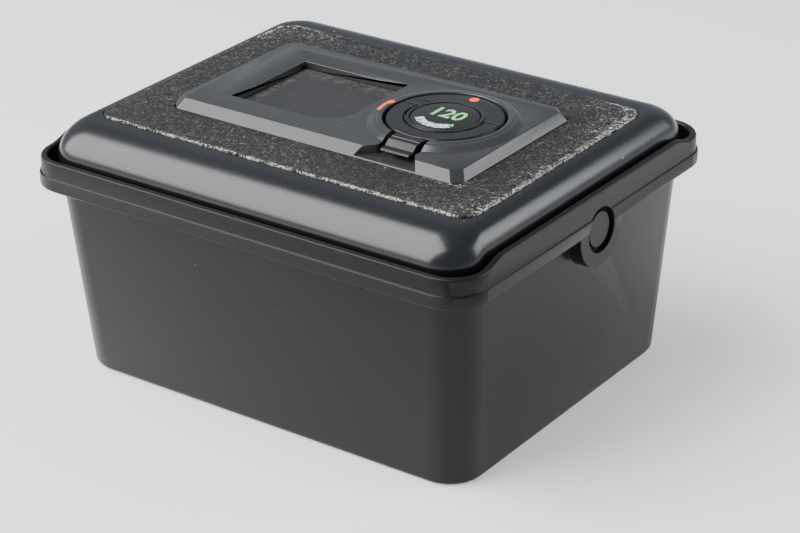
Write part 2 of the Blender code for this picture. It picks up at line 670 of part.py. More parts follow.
def make_screw(name, head_centre, direction, head=(2.0, 1.2), shank=(1.0, 7.0)):
    """Slotted screw: its head's inner face is at head_centre and its shank points along direction."""
    head_radius, head_height = head
    shank_radius, shank_length = shank
    profile = [(0.0, head_height), (head_radius - 0.3, head_height), (head_radius, head_height - 0.3),
               (head_radius, 0.0), (shank_radius, 0.0), (shank_radius, -shank_length),
               (0.0, -shank_length)]
    screw = turned(name, profile, head_centre, SCREW_STEEL, steps=12)
    slot = box(name + "_slot", (-head_radius - 0.5, -0.3, head_height - 0.5),
               (head_radius + 0.5, 0.3, head_height + 0.5), cutter=True)
    turn = Vector((0, 0, -1)).rotation_difference(Vector(direction))
    for obj in (screw, slot):
        obj.rotation_mode = 'QUATERNION'
        obj.rotation_quaternion = turn
        obj.location = mm(head_centre)
    combine(screw, slot)
    return screw


# ------------------------------------------------------------------------- spool frame


def spool_axis(side):
    return side * SPOOL_Y, SPOOL_Z


COUPLING_PLACE = (
    IDLER_PLACE[0] + GEAR_MODULE * (IDLER_TEETH + COUPLING_TEETH) / 2 * math.cos(COUPLING_BEARING),
    IDLER_PLACE[1] + GEAR_MODULE * (IDLER_TEETH + COUPLING_TEETH) / 2 * math.sin(COUPLING_BEARING),
)
SPACERS = ((-32.0, 19.5), (16.0, 40.0))      # Y and Z of the gear cover's spacers
WEB_SCREWS = (31.5, 41.5)                    # heights of the screws that hold the cheeks
CHEEK_OUTLINE = [(-37, 46.9), (-37, 12), (-34, 8.5), (-26, 8.5), (-23.5, 11), (23.5, 11), (26, 8.5),
                 (34, 8.5), (37, 12), (37, 46.9)]


def make_cheeks():
    """Side plates with holes for rollers, studs, posts and screws."""
    common = [circle((side * ROLLER_PLACE[0], ROLLER_PLACE[1]), 1.5) for side in (-1, 1)]
    common += [circle((0.0, z), 1.3) for z in WEB_SCREWS]
    left = common + [circle(spool_axis(side), 2.0) for side in (-1, 1)]
    flat_part("left_cheek", [CHEEK_OUTLINE, *left], CHEEK_LEFT, CHEEK_LEFT + CHEEK, 'YZ', ALLOY)
    right = common + [circle(spool_axis(-1), 2.8), circle(spool_axis(1), 2.1)]
    right += [circle(IDLER_PLACE, 1.5), circle(COUPLING_PLACE, 1.5)]
    right += [circle(place, 1.2) for place in SPACERS]
    flat_part("right_cheek", [CHEEK_OUTLINE, *right], CHEEK_RIGHT - CHEEK, CHEEK_RIGHT, 'YZ', ALLOY)


def make_web():
    """I-section beam between the cheeks, which also backs the pressure plate."""
    low, high = WEB_LOW, PLATE_Z[0] - GAP
    outline = [(-20, low), (20, low), (20, low + 1.6), (WEB_HALF, low + 2.2), (WEB_HALF, high - 2.4),
               (8, high - 2.0), (8, high), (-8, high), (-8, high - 2.0), (-WEB_HALF, high - 2.4),
               (-WEB_HALF, low + 2.2), (-20, low + 1.6)]
    ends = (CHEEK_LEFT + CHEEK + GAP, CHEEK_RIGHT - CHEEK - GAP)
    web = as_mesh(flat_part("carrier_web", [outline], *ends, 'YZ', ALLOY))
    for place, z in zip(("lower", "upper"), WEB_SCREWS):
        for number, end in enumerate(ends):
            bore = drum(f"web_bore_{place}_{number + 1}", (end - 6.0, 0, z), (end + 6.0, 0, z), 1.2,
                        'X', cutter=True, steps=SMALL_STEPS)
            combine(web, bore)
    for number, (x, y) in enumerate(FRAME_SCREWS):
        bore = drum(f"flange_bore_{number + 1}", (x, y, 43.0), (x, y, 48.0), 1.2, cutter=True,
                    steps=SMALL_STEPS)
        combine(web, bore)
    return web


def make_pressure_plate():
    """Flat plate with turned-up edges and two bowed springs above it."""
    half_x, half_y = PRESSURE_PLATE[0] / 2, PRESSURE_PLATE[1] / 2
    low, high = PRESSURE_Z
    sections = [[(FRAME_X + x, y, z) for x, y in rounded_rectangle(half_x - inset, half_y - inset, 3)]
                for z, inset in ((low, 0.8), (low + 0.5, 0.0), (high, 0.0))]
    loft("pressure_plate", sections, ALLOY)
    foot, steps = high + 0.25, 12
    bow = [(BOW_LENGTH * (k / steps - 0.5), BOW_RISE * math.sin(math.pi * k / steps))
           for k in range(steps + 1)]
    for name, y in (("front", -BOW_Y), ("rear", BOW_Y)):
        outline = [(FRAME_X + x, foot + z) for x, z in bow]
        outline += [(FRAME_X + x, foot + z + BOW_THICK) for x, z in reversed(bow)]
        flat_part("plate_spring_" + name, [outline], -y - 3.0, -y + 3.0, 'XZ', STEEL)


def make_rollers():
    ends = (CHEEK_LEFT + 0.2, CHEEK_RIGHT - 0.2)
    body = (CHEEK_LEFT + CHEEK + 1.2, CHEEK_RIGHT - CHEEK - 1.2)
    for name, side in (("front", -1), ("rear", 1)):
        turned("roller_" + name, [
            (0.0, ends[1]), (1.2, ends[1]), (1.2, body[1]), (ROLLER_RADIUS - 0.3, body[1]),
            (ROLLER_RADIUS, body[1] - 0.3), (ROLLER_RADIUS, body[0] + 0.3),
            (ROLLER_RADIUS - 0.3, body[0]), (1.2, body[0]), (1.2, ends[0]), (0.0, ends[0]),
        ], (0, side * ROLLER_PLACE[0], ROLLER_PLACE[1]), ALLOY, axis='X', steps=20)


def make_takeup():
    """Empty take-up spool and the dog that drives it."""
    y, z = spool_axis(-1)
    high, low = FRAME_X + SPOOL_LENGTH / 2, FRAME_X - SPOOL_LENGTH / 2
    spool = turned("takeup_spool", [
        (0.0, high - 5.0), (2.9, high - 5.0), (2.9, high), (SPOOL_FLANGE, high),
        (SPOOL_FLANGE, high - 1.1), (SPOOL_CORE, high - 1.5), (SPOOL_CORE, low + 1.5),
        (SPOOL_FLANGE, low + 1.1), (SPOOL_FLANGE, low), (2.9, low), (2.9, low + 5.0),
        (0.0, low + 5.0),
    ], (0, y, z), SPOOL_PLASTIC, axis='X', steps=32)
    slot = box("spool_key_slot", (high - 4.2, y - 1.2, z - 5.0), (high + 1.0, y + 1.2, z + 5.0),
               cutter=True)
    combine(spool, slot)
    face = high + GAP
    dog = turned("drive_dog", [
        (0.0, GEAR_X[1] + 0.8), (2.2, GEAR_X[1] + 0.8), (2.4, GEAR_X[1] + 0.6), (2.4, face + 1.5),
        (5.0, face + 1.5), (5.0, face), (0.0, face),
    ], (0, y, z), STEEL, axis='X', steps=16)
    blade = box("dog_blade", (high - 3.8, y - 0.9, z - 4.4), (face + 0.5, y + 0.9, z + 4.4),
                cutter=True)
    combine(dog, blade, 'UNION')


def make_studs():
    """Spool studs: the two left ones pull out against springs, the right supply one is fixed."""
    low = FRAME_X - SPOOL_LENGTH / 2
    high = FRAME_X + SPOOL_LENGTH / 2
    outside = CHEEK_LEFT - 0.5
    for name, side in (("supply", 1), ("takeup", -1)):
        y, z = spool_axis(side)
        turned(name + "_stud_left", [
            (0.0, low + 2.6), (1.8, low + 2.6), (2.3, low + 2.0), (2.3, low - GAP),
            (STUD_RADIUS, low - GAP), (STUD_RADIUS, low - 1.3), (1.6, low - 1.3), (1.6, outside),
            (3.8, outside), (4.0, outside - 0.3), (4.0, outside - 2.0), (0.0, outside - 2.0),
        ], (0, y, z), STEEL, axis='X', steps=16)
        first, last = CHEEK_LEFT + CHEEK + 0.5, low - 1.3 - 0.5
        spring = bpy.data.curves.new(name + "_stud_spring", 'CURVE')
        spring.dimensions = '3D'
        spring.bevel_depth = mm(SPRING_WIRE)
        spring.bevel_resolution = 1
        spring.use_fill_caps = True
        steps = int(SPRING_TURNS * 10)
        line = spring.splines.new('POLY')
        line.points.add(steps)
        for k, point in enumerate(line.points):
            turn = 2 * math.pi * SPRING_TURNS * k / steps
            place = (first + (last - first) * k / steps, y + SPRING_RADIUS * math.cos(turn),
                     z + SPRING_RADIUS * math.sin(turn))
            point.co = (*mm(place), 1.0)
        add_object(name + "_stud_spring", spring, STEEL)
    y, z = spool_axis(1)
    turned("supply_stud_right", [
        (0.0, CHEEK_RIGHT + 2.0), (2.6, CHEEK_RIGHT + 2.0), (3.0, CHEEK_RIGHT + 1.6),
        (3.0, CHEEK_RIGHT + GAP), (1.8, CHEEK_RIGHT + GAP), (1.8, high + 1.5), (STUD_RADIUS, high + 1.5),
        (STUD_RADIUS, high + GAP), (2.3, high + GAP), (2.3, high - 2.0), (1.8, high - 2.6),
        (0.0, high - 2.6),
    ], (0, y, z), STEEL, axis='X', steps=16)


# ---------------------------------------------------------------------------- wind gears


def involute(angle):
    return math.tan(angle) - angle


def gear_outline(centre, teeth, phase):
    """Involute teeth with a little backlash. phase is the bearing of one tooth, in radians."""
    pitch = GEAR_MODULE * teeth / 2
    base = pitch * math.cos(PRESSURE_ANGLE)
    root, tip = pitch - 1.15 * GEAR_MODULE, pitch + 0.85 * GEAR_MODULE
    half_tooth = math.pi / teeth * 0.46
    points = []
    for number in range(teeth):
        middle = phase + 2 * math.pi * number / teeth
        flank = []
        for radius in (max(base, root) + 0.02, pitch, tip):
            opened = involute(math.acos(min(1.0, base / radius)))
            half = half_tooth + involute(PRESSURE_ANGLE) - opened
            flank.append((radius, half))
        flank.insert(0, (root, flank[0][1] + 0.02))
        rising = [(radius, middle - half) for radius, half in flank]
        falling = [(radius, middle + half) for radius, half in reversed(flank)]
        for radius, turn in rising + falling:
            points.append((centre[0] + radius * math.cos(turn), centre[1] + radius * math.sin(turn)))
    return points


def make_gears():
    """Take-up gear, idler and coupling gear in mesh, on the outside of the right cheek."""
    takeup = spool_axis(-1)
    toward = math.atan2(IDLER_PLACE[1] - takeup[1], IDLER_PLACE[0] - takeup[0])
    idler_phase = toward + math.pi + math.pi / IDLER_TEETH
    turns = (COUPLING_BEARING - idler_phase) / (2 * math.pi / IDLER_TEETH)
    share = turns - math.floor(turns)
    coupling_phase = COUPLING_BEARING + math.pi + (share + 0.5) * 2 * math.pi / COUPLING_TEETH
    gears = (("takeup_gear", takeup, TAKEUP_TEETH, toward, 2.7),
             ("idler_gear", IDLER_PLACE, IDLER_TEETH, idler_phase, 2.1),
             ("coupling_gear", COUPLING_PLACE, COUPLING_TEETH, coupling_phase, 2.1))
    for name, centre, teeth, phase, bore in gears:
        outlines = (gear_outline((0.0, 0.0), teeth, phase), circle((0.0, 0.0), bore, 20))
        gear = flat_part(name, outlines, *GEAR_X, 'YZ', GEAR_PLASTIC)
        gear.location.y, gear.location.z = mm(centre[0]), mm(centre[1])
    for name, (y, z) in (("idler_post", IDLER_PLACE), ("coupling_post", COUPLING_PLACE)):
        far = GEAR_X[1] + 1.0
        turned(name, [
            (0.0, far), (2.8, far), (2.8, far - 0.7), (1.8, far - 0.7), (1.8, CHEEK_RIGHT + GAP),
            (1.2, CHEEK_RIGHT + GAP), (1.2, CHEEK_RIGHT - 1.2), (0.0, CHEEK_RIGHT - 1.2),
        ], (0, y, z), STEEL, axis='X', steps=20)


def make_gear_cover():
    """Plate over the gears on two spacers, open where the camera drives the coupling gear."""
    outline = [(-36, 14), (-33, 10), (9, 9.5), (15, 15), (21, 34), (21, 43), (18, 46), (-28, 46),
               (-36, 40)]
    holes = [circle(place, 1.3) for place in SPACERS] + [circle(COUPLING_PLACE, 3.4, 24)]
    flat_part("gear_cover", [outline, *holes], *GEAR_COVER_X, 'YZ', ALLOY)
    for number, place in enumerate(SPACERS):
        flat_part(f"gear_cover_spacer_{number + 1}", (circle(place, 2.4), circle(place, 1.3)),
                  CHEEK_RIGHT + GAP, GEAR_COVER_X[0] - GAP, 'YZ', STEEL)


def make_screws():
    for x in (-SCREW_PLACE[0], SCREW_PLACE[0]):
        for y in (-SCREW_PLACE[1], SCREW_PLACE[1]):
            name = f"cover_screw_{'right' if x > 0 else 'left'}_{'rear' if y > 0 else 'front'}"
            make_screw(name, (x, y, PLATE_Z[0] - GAP), (0, 0, 1))
    for number, (x, y) in enumerate(FRAME_SCREWS):
        make_screw(f"frame_screw_{number + 1}", (x, y, PLATE_Z[1] + GAP), (0, 0, -1),
                   head=(1.7, 1.0), shank=(0.9, 4.5))
    for z, place in zip(WEB_SCREWS, ("lower", "upper")):
        make_screw("cheek_screw_left_" + place, (CHEEK_LEFT - GAP, 0, z), (1, 0, 0),
                   head=(2.0, 1.2), shank=(0.9, 6.5))
        make_screw("cheek_screw_right_" + place, (CHEEK_RIGHT + GAP, 0, z), (-1, 0, 0),
                   head=(2.0, 1.2), shank=(0.9, 6.5))
    for number, (y, z) in enumerate(SPACERS):
        make_screw(f"gear_cover_screw_{number + 1}", (GEAR_COVER_X[1] + GAP, y, z), (-1, 0, 0),
                   head=(2.2, 1.2), shank=(0.9, 7.5))


# --------------------------------------------------------------------------------- build

make_case()
make_cover()
make_leatherette()
make_bezel()
make_memo_plate()
lock_knob = make_knob()
key_ring = make_key()
make_key_pins(lock_knob, key_ring)
put_origin(key_ring, (DIAL[0], DIAL[1] + KEY_AXIS[0], KEY_AXIS[1]))
make_cap()
make_cam()
make_bars()
make_guides()
make_inner_plate()
make_cheeks()
make_web()
make_pressure_plate()
make_rollers()
make_takeup()
make_studs()
make_gears()
make_gear_cover()
make_screws()
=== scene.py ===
# %% [markdown]
# # A roll film insert in its storage case
#
# The object is a film insert for a medium-format camera back. It sits in a tapered moulded
# case, with its gloss cover, grained covering, memo window and lock knob on top. The packed
# CAD model gives every size and every moving body, so it is loaded first and never moved.
# This lesson dresses it: it remakes the pieces whose curves catch the light, softens the
# edges of the others, and gives each one a finish made of nodes.

# %% Load the frame
import json
import math

import bmesh
import bpy
from mathutils import Matrix, Vector, noise


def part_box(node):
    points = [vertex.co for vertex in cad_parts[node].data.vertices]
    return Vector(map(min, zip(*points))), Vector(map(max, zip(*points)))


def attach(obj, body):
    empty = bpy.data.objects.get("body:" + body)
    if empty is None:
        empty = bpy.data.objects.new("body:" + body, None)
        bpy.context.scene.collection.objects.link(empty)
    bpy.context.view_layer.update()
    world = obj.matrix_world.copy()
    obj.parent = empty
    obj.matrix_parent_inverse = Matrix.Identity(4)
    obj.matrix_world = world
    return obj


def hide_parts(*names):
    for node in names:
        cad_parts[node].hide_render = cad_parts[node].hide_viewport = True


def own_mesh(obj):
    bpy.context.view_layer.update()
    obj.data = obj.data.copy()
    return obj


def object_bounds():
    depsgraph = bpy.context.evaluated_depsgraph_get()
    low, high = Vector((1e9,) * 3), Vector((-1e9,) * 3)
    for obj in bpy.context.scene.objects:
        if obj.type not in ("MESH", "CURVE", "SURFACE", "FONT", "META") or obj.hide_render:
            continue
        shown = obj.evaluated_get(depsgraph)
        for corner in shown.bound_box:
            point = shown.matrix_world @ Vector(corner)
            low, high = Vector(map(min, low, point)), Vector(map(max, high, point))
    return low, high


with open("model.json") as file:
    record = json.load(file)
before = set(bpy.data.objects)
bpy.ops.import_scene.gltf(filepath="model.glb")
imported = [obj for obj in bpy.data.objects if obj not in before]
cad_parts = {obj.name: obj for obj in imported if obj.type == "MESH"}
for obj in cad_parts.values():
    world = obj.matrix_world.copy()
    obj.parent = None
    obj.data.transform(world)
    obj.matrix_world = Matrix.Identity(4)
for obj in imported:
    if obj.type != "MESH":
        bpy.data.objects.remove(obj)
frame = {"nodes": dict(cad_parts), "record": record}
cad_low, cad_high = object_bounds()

print("CAD box", [round(v * 1000, 2) for v in (*cad_low, *cad_high)], "mm")

# %% [markdown]
# ## Sizes
#
# Blender counts in metres and this object in millimetres, so one helper turns one into the
# other. Every place is then read from the boxes of the CAD nodes, which keeps the new pieces
# in step with the frame. A box has a low and a high corner, and its middle is often wanted.

# %% Sizes from the frame


def mm(value):
    """Millimetres as metres, for a number or a point."""
    if isinstance(value, (int, float)):
        return value * 0.001
    return Vector(value) * 0.001


def half_size(node):
    """Half the width and half the depth of a CAD node."""
    low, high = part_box(node)
    return (high.x - low.x) / 2, (high.y - low.y) / 2


cover_low, cover_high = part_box("back_cover")
leather_low, leather_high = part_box("leatherette")
cap_low, cap_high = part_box("dial_cap")
cover_x, cover_y = half_size("back_cover")
leather_x, leather_y = half_size("leatherette")
bezel_x, bezel_y = half_size("bezel_plate")
dial = (cap_low + cap_high) / 2
print("dial axis at", round(dial.x * 1000, 2), round(dial.y * 1000, 2), "mm")

# %% [markdown]
# ## Writing shader maths in Python
#
# A procedural finish is a chain of nodes. Wiring them by hand hides the idea under dozens of
# lines, so a small class wraps one output socket and overloads the arithmetic signs: an
# expression such as 1 - mask * 0.4 adds its Math nodes by itself. Every other node comes
# from one method, which takes its kind, its inputs and its settings.

# %% A class for shader maths


class Wire:
    """One output socket. Arithmetic on it, with a number or another wire, adds Math nodes."""

    def __init__(self, tree, socket):
        self.tree = tree
        self.socket = socket

    def node(self, kind, values=None, output=0, **settings):
        """Adds a node, sets it up, fills its inputs and returns one of its outputs."""
        made = self.tree.nodes.new("ShaderNode" + kind)
        for name, value in settings.items():
            setattr(made, name, value)
        for name, value in (values or {}).items():
            if isinstance(value, Wire):
                self.tree.links.new(value.socket, made.inputs[name])
            else:
                made.inputs[name].default_value = value
        return Wire(self.tree, made.outputs[output])

    def maths(self, operation, *others):
        """A Math node whose first value is this wire."""
        return self.node("Math", dict(enumerate((self, *others))), operation=operation)

    def __add__(self, other):
        return self.maths("ADD", other)

    __radd__ = __add__

    def __sub__(self, other):
        return self.maths("SUBTRACT", other)

    def __rsub__(self, other):
        return self.node("Math", {0: other, 1: self}, operation="SUBTRACT")

    def __mul__(self, other):
        return self.maths("MULTIPLY", other)

    __rmul__ = __mul__

    def __neg__(self):
        return self * -1.0

    def __abs__(self):
        return self.maths("ABSOLUTE")

    def larger(self, other):
        return self.maths("MAXIMUM", other)


# %% [markdown]
# ## Words for the marks of use
#
# Most finishes here are told with the same few words: a grain from noise, specks of dust
# from the cells of a Voronoi texture, and a soft step that turns any value into a mask. Each
# word is one short function, so that a finish below reads like its description. Coordinates
# are in metres, so a scale of 1000 gives one feature to each millimetre.

# %% Masks and textures


def step(wire, start, end):
    """0 before start and 1 after end, with a smooth change between them."""
    return wire.node("MapRange", {"Value": wire, "From Min": start, "From Max": end},
                     interpolation_type="SMOOTHSTEP")


def grain(place, scale, detail=3.0, roughness=0.55, distortion=0.0):
    """Soft noise from 0 to 1."""
    values = {"Vector": place, "Scale": scale, "Detail": detail, "Roughness": roughness,
              "Distortion": distortion}
    return place.node("TexNoise", values, output="Fac")


def cells(place, scale, output="Distance", randomness=1.0):
    """Distance from the nearest of many scattered points, or a colour for each of them."""
    return place.node("TexVoronoi", {"Vector": place, "Scale": scale, "Randomness": randomness},
                      output=output)


def specks(place, scale, size, share):
    """Small round specks: one in some of the cells, each with its own size."""
    chance = place.node("SeparateColor", {"Color": cells(place, scale, "Color")}, output="Red")
    return step(size - cells(place, scale), 0.0, size * 0.4) * step(chance, 1 - share, 1.0)


def stretched(place, scale):
    """The coordinates pulled out along some axes, for brush lines and scratches."""
    return place.node("Mapping", {"Vector": place, "Scale": scale})


def tint(factor, first, second):
    """A colour that goes from first to second as factor goes from 0 to 1."""
    return factor.node("Mix", {0: factor, 6: first, 7: second}, output=2, data_type="RGBA")


def axis_of(place, name):
    """One coordinate, in metres."""
    return place.node("SeparateXYZ", {"Vector": place}, output=name)


def radius_from(place, x, y):
    """Distance from a point seen from above, in metres. The point is in mm."""
    across = axis_of(place, "X") - mm(x)
    along = axis_of(place, "Y") - mm(y)
    return (across * across + along * along).maths("SQRT")


def near(place, x, y, inside, outside):
    """1 around a point seen from above and 0 further away, with both distances in mm."""
    return 1 - step(radius_from(place, x, y), mm(inside), mm(outside))


def grey(level, warmth=0.0):
    """A neutral colour, a little warmer or colder."""
    return (level * (1 + warmth), level, level * (1 - warmth), 1.0)


# %% [markdown]
# ## Starting and ending a finish
#
# A finish starts as Blender's Principled shader with its constant numbers set on the
# shader's own sockets. It ends when the values that change over the surface are plugged into
# base colour, roughness and a bump. The bump's height is in metres as well, so a moulded
# texture is a few hundredths of a millimetre deep.

# %% Start and finish a material

FINISHES = {}


def start_finish(name, **constants):
    """A new material, its shader, and the object coordinates to paint it with."""
    material = bpy.data.materials.new(name)
    material.use_nodes = True
    tree = material.node_tree
    shader = tree.nodes["Principled BSDF"]
    for socket, value in constants.items():
        shader.inputs[socket.replace("_", " ")].default_value = value
    FINISHES[name] = material
    coordinates = tree.nodes.new("ShaderNodeTexCoord")
    return shader, Wire(tree, coordinates.outputs["Object"])


def end_finish(shader, colour, roughness, height, depth_mm, strength=1.0, edge_mm=0.0):
    """Plugs the painted values in. edge_mm rounds the sharp edges in the shading."""
    tree = height.tree
    tree.links.new(colour.socket, shader.inputs["Base Color"])
    tree.links.new(roughness.socket, shader.inputs["Roughness"])
    values = {"Height": height, "Distance": mm(depth_mm), "Strength": strength}
    if edge_mm:
        values["Normal"] = height.node("Bevel", {"Radius": mm(edge_mm)}, samples=4)
    bump = height.node("Bump", values)
    tree.links.new(bump.socket, shader.inputs["Normal"])


# %% [markdown]
# ## Case plastic
#
# The case is moulded in satin black plastic. Its skin has a very fine texture that spreads
# the reflection of the table, faint vertical drag marks from sliding in and out of a bag,
# a few thin scuffs and some white dust. The scuffs are noise pulled out along the walls,
# and only the top of its range is kept, so that they stay rare.

# %% Finish of the case


def paint_case():
    shader, place = start_finish("satin_case_plastic", Specular_IOR_Level=0.16)
    skin = grain(place, 2600, detail=2.0)
    cloud = grain(place, 34, detail=4.0)
    drag = grain(stretched(place, (60, 60, 7)), 7.0, detail=5.0, roughness=0.7)
    scuffs = step(grain(stretched(place, (12, 12, 150)), 6.0, 4.0, 0.65, 0.3), 0.655, 0.74)
    scuffs = scuffs * step(grain(place, 45, 2.0), 0.55, 0.68)
    dust = specks(place, 210, 0.045, 0.14)
    colour = tint(cloud, grey(0.0055, 0.03), grey(0.0080, 0.06))
    colour = tint(scuffs * 0.16, colour, (0.26, 0.27, 0.30, 1))
    colour = tint(dust * 0.75, colour, grey(0.42))
    roughness = 0.24 + cloud * 0.08 + drag * 0.08 + dust * 0.3
    end_finish(shader, colour, roughness, skin + drag * 0.25 + dust * 2.0, 0.03, 0.30)


paint_case()

# %% [markdown]
# ## Gloss cover
#
# The cover is a steel pan in black gloss lacquer. Nearly all its colour is reflection, so the
# base stays almost black and the roughness low. Handling leaves hairline scratches and a
# slight haze, and pale dust has gathered beside the covering, most of it round the front
# right corner. The dust's mask is the distance from the covering's edge.

# %% Finish of the cover


def edge_distance(place, half_x, half_y):
    """How far a point is outside a rectangle round the origin, negative inside it."""
    across = abs(axis_of(place, "X")) - half_x
    along = abs(axis_of(place, "Y")) - half_y
    return across.larger(along)


def paint_cover():
    shader, place = start_finish("black_gloss_lacquer", Specular_IOR_Level=0.5)
    outside = edge_distance(place, leather_x, leather_y)
    beside = (1 - step(outside, 0.0, mm(2.6))) * step(grain(place, 120, 3.0), 0.42, 0.62)
    corner = near(place, 49, -34, 4, 26)
    fine_dust = specks(place, 900, 0.16, 0.5) * beside * (0.35 + corner * 0.65)
    loose_dust = specks(place, 160, 0.05, 0.22)
    dust = fine_dust.larger(loose_dust * 0.6)
    haze = grain(place, 60, 3.0)
    hairlines = step(grain(stretched(place, (30, 400, 400)), 3.0, 3.0, 0.6, 0.4), 0.60, 0.72)
    colour = tint(haze, (0.0035, 0.0040, 0.0052, 1), (0.0055, 0.0060, 0.0072, 1))
    colour = tint(dust, colour, grey(0.55))
    roughness = 0.22 + haze * 0.06 + hairlines * 0.05 + dust * 0.5
    end_finish(shader, colour, roughness, grain(place, 700, 2.0) + dust * 3, 0.012, 0.12)


paint_cover()

# %% [markdown]
# ## Grained covering
#
# The sheet glued into the cover imitates leather: a fine irregular grain with small wrinkles.
# A Voronoi texture and noise, both bent by more noise, give the grain, and the top of another
# noise gives the wrinkles. They are raised in the bump, and their tops are also painted as
# pale glints under a millimetre long: a painted highlight. Old covering loses its skin at the
# edges, so a thin pale line follows the outline, broken into dashes along the front. It is
# broad and crumbly along the right side, and spreads at the rear corners. The width of that
# line is a number that varies over the sheet.

# %% Finish of the covering


def paint_covering():
    shader, place = start_finish("grained_covering", Specular_IOR_Level=0.25)
    bend = grain(place, 900, 2.0) * mm(0.9)
    bent = place.node("VectorMath", {0: place, 1: place.node("CombineXYZ", {"X": bend, "Y": bend})},
                      operation="ADD")
    worms = step(cells(stretched(bent, (1.0, 1.7, 1.0)), 900), 0.10, 0.62)
    fibres = grain(stretched(bent, (1.0, 2.2, 1.0)), 2100, 3.0, 0.65, 0.8)
    wrinkles_and_glints = step(grain(bent, 1150, 4.0, 0.78, 1.8), 0.51, 0.66)
    relief = (1 - worms) * 0.55 + fibres * 0.35 + wrinkles_and_glints * 0.45

    x, y = axis_of(place, "X"), axis_of(place, "Y")
    inside = -edge_distance(place, leather_x, leather_y)
    right = step(x - leather_x, -mm(8), -mm(1)) * step(y, -mm(36), -mm(26))
    front = 1 - step(y + leather_y, mm(1), mm(5))
    corner = near(place, 49, -33, 3, 15)
    rear_corners = near(place, -47, 32, 3, 20).larger(near(place, 49, 30, 4, 16))
    patches = grain(place, 190, 4.0, 0.75, 0.5)
    dashes = step(patches, 0.47, 0.53).larger(right).larger(corner * 0.8)
    width = patches * (front * mm(0.25) + right * mm(1.7) + rear_corners * mm(1.4)) - mm(0.1)
    crumbs = step(grain(place, 1500, 3.0, 0.7, 0.8), 0.48, 0.56)
    thin = (1 - step(inside, mm(0.16), mm(0.34))) * dashes * crumbs
    clods = step(grain(place, 950, 4.0, 0.8, 1.4), 0.52, 0.59)
    rim = thin.larger((1 - step(inside - width, mm(0.2), mm(0.6))) * clods)
    spread = (1 - step(inside, mm(1), mm(9))) * (right * 0.8 + corner * 0.5 + rear_corners)
    at_bezel = 1 - step(edge_distance(place, bezel_x, bezel_y), mm(0.4), mm(1.6))
    at_bezel = at_bezel * near(place, 33, -25, 6, 20)
    lint = step(grain(bent, 1500, 2.0, 0.6, 1.2), 0.56, 0.66) * step(patches, 0.40, 0.60)
    lint = lint * spread.larger(at_bezel)
    pale = (rim * 0.95).larger(lint * 0.8)
    worn = 0.55 + grain(place, 70, 3.0) * 0.9 - near(place, 20, -26, 4, 14) * 0.4
    # The pale flakes in this colour are painted glints off the wrinkles, varied by noise and dimmed
    # near one spot in front of the bezel.
    colour = tint(wrinkles_and_glints * worn, grey(0.007), grey(0.150, 0.02))
    colour = tint(pale, colour, (0.66, 0.63, 0.58, 1))
    roughness = 0.66 - wrinkles_and_glints * 0.22 + pale * 0.2
    end_finish(shader, colour, roughness, relief + pale * 0.2, 0.26, 0.85)


paint_covering()

# %% [markdown]
# ## Enamel of the bezel and the knob
#
# The bezel, the key and the knob are die castings in semi-matt black enamel. It has a fine
# orange-peel skin, small chips of dust in the corners and slightly lighter patches where
# thumbs rub it. The collar carries an orange index mark, a dot with a tail that follows the
# collar. It lies over a stepped edge, so it is painted with a mask and not built.

# %% Finish of the enamel parts


def collar_mark(place):
    """A dot and its curved tail on the left of the collar."""
    x, y = axis_of(place, "X"), axis_of(place, "Y")
    radius = radius_from(place, dial.x * 1000, dial.y * 1000)
    line = 1 - step(abs(radius - mm(15.4)), mm(0.52), mm(0.64))
    line = line * step(y, -mm(4.8), -mm(4.6)) * (1 - step(y, -mm(0.2), 0.0))
    dot = near(place, 5.45, 0.17, 1.15, 1.32)
    return dot.larger(line * (1 - step(x, dial.x, dial.x + mm(1))))


def paint_enamel(name, level, gloss, with_mark=False):
    shader, place = start_finish(name, Specular_IOR_Level=gloss)
    peel = grain(place, 1400, 2.0)
    rub = grain(place, 90, 4.0, 0.65)
    dust = specks(place, 420, 0.10, 0.10) + specks(place, 1500, 0.14, 0.10) * step(rub, 0.52, 0.62)
    colour = tint(rub, (level * 0.92, level * 0.98, level * 1.05, 1), grey(level * 1.3))
    colour = tint(dust.maths("MINIMUM", 1.0) * 0.55, colour, grey(0.40))
    roughness = 0.18 + rub * 0.10 + dust * 0.3
    if with_mark:
        mark = collar_mark(place)
        colour = tint(mark, colour, (0.95, 0.11, 0.0, 1))
        roughness = roughness + mark * 0.15
    end_finish(shader, colour, roughness, peel + rub * 0.5, 0.012, 0.30)


paint_enamel("bezel_enamel", 0.022, 0.42, with_mark=True)
paint_enamel("knob_enamel", 0.010, 0.22)

# %% [markdown]
# ## Memo plate
#
# The plate in the memo window is a flat spring that holds a torn-off box flap. It is smooth
# dark metal in the middle. Grey-brown fluff from old flaps has packed along its left and rear
# edges, where the flap slides in, so the colour there is broken up by noise.

# %% Finish of the memo plate


def paint_memo():
    shader, place = start_finish("memo_plate_enamel", Specular_IOR_Level=0.45)
    memo_low, memo_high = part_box("memo_plate")
    middle = (memo_low + memo_high) / 2
    x, y = axis_of(place, "X") - middle.x, axis_of(place, "Y") - middle.y
    half_x, half_y = half_size("memo_plate")
    rear = step(y, half_y - mm(6), half_y - mm(1.0))
    left = 1 - step(x, mm(1) - half_x, mm(4) - half_x)
    fluff = rear.larger(left) * step(grain(place, 700, 5.0, 0.75, 0.6), 0.40, 0.66)
    cloud = grain(place, 120, 3.0)
    colour = tint(cloud, grey(0.012), grey(0.020, -0.04))
    colour = tint(fluff * 0.7, colour, (0.085, 0.066, 0.054, 1))
    end_finish(shader, colour, 0.42 + cloud * 0.1 + fluff * 0.4, grain(place, 2500) + fluff, 0.03, 0.4)


paint_memo()
